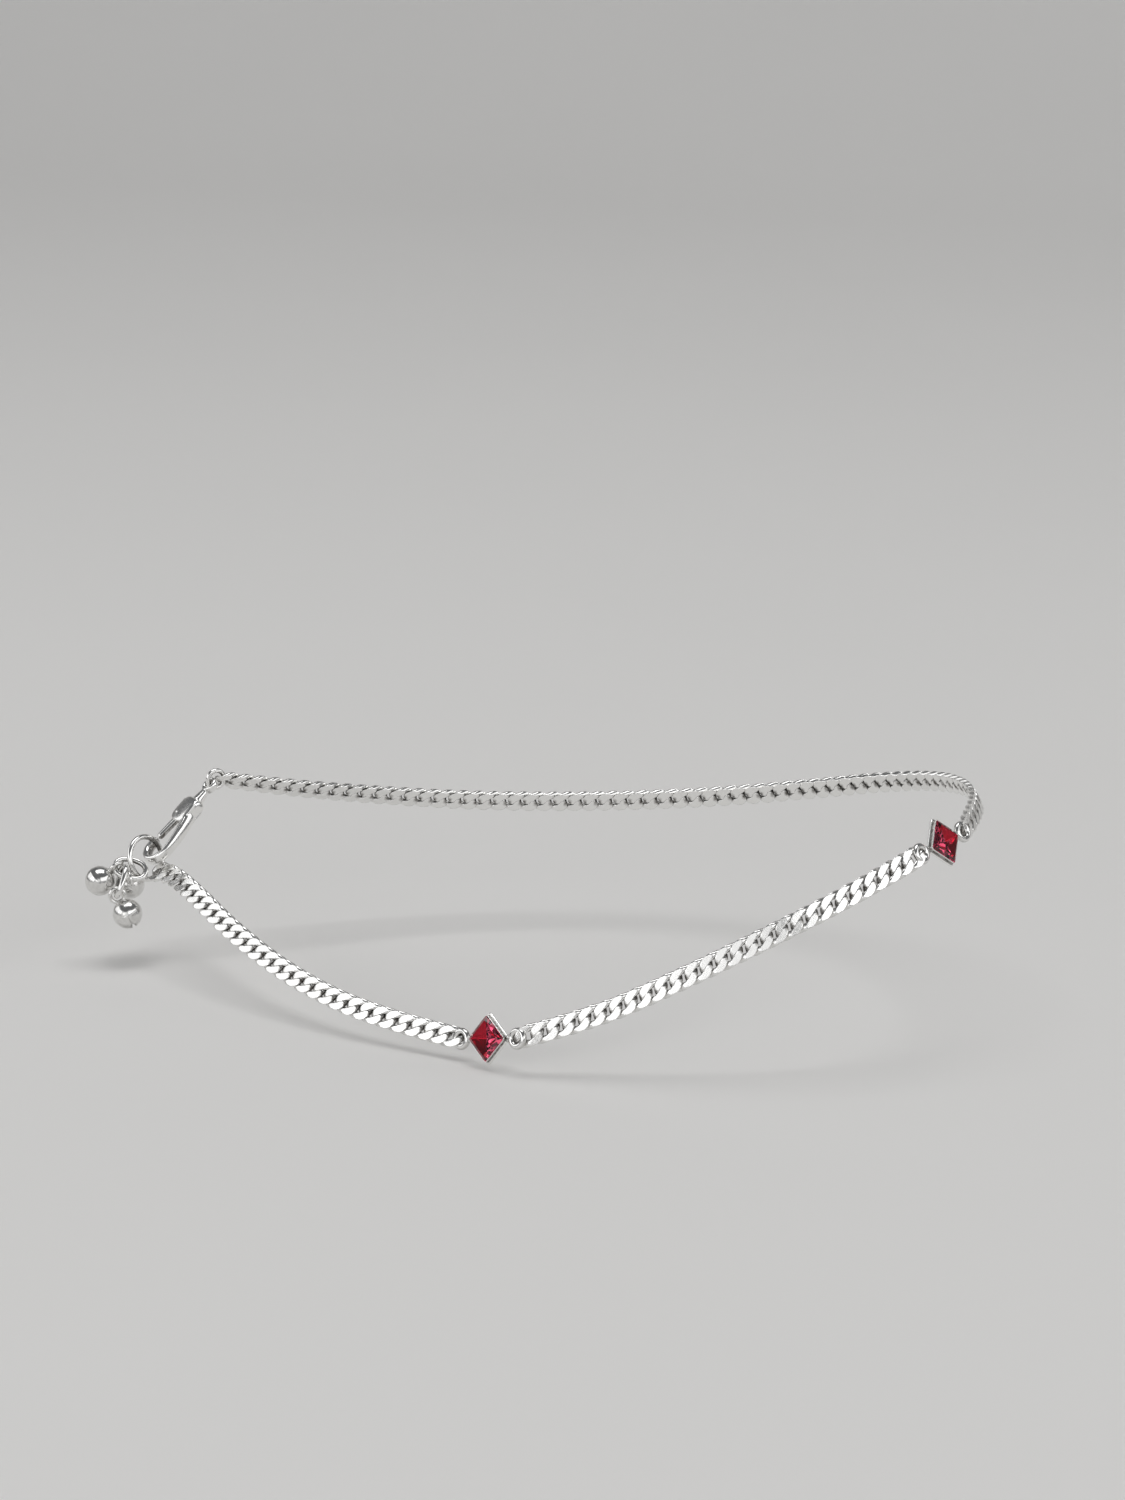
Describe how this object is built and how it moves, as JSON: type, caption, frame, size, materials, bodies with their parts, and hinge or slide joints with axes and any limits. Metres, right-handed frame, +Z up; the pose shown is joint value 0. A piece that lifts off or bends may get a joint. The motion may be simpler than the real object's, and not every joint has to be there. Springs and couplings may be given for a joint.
{
  "type": "payal anklet",
  "caption": "Silver curb chain anklet kept in its worn loop, with square red stones in cup settings, a lobster clasp with a sprung lever, and a short drop of links and small bells.",
  "frame": {"origin": "middle of the hollow that the ankle fills, half way up the worn loop", "axes": "+Z up, +X from the clasp at the heel to the front of the ankle, -Y to the side with the stones"},
  "size_m": [0.116, 0.0694, 0.0284],
  "materials": {
    "silver_chain": "bright polished silver, flat-cut link faces",
    "silver_setting": "bright polished silver, soldered",
    "silver_findings": "polished silver wire and cast findings",
    "silver_bell": "polished thin pressed silver",
    "red_stone": "clear red faceted stone with a bright back"
  },
  "bodies": {
    "anklet": {"chain_heel": "silver_chain", "chain_side": "silver_chain", "chain_far": "silver_chain", "setting_side": "silver_setting", "setting_front": "silver_setting", "stone_side": "red_stone", "stone_front": "red_stone", "clasp_ring": "silver_findings", "clasp_body": "silver_findings", "jump_ring": "silver_findings", "drop_link_1": "silver_findings", "drop_link_2": "silver_findings", "bell_low": "silver_bell", "bell_left": "silver_bell", "bell_right": "silver_bell"},
    "lever": {"clasp_lever": "silver_findings"}
  },
  "joints": [
    {"name": "lever_hinge", "type": "hinge", "parent": "anklet", "child": "lever", "pos_m": [-0.05023, 0.00996, 0.00318], "axis": [-0.5148, -0.4579, 0.7248], "range_deg": [0, 28], "stiffness_Nm_per_rad": 0.0002}
  ]
}
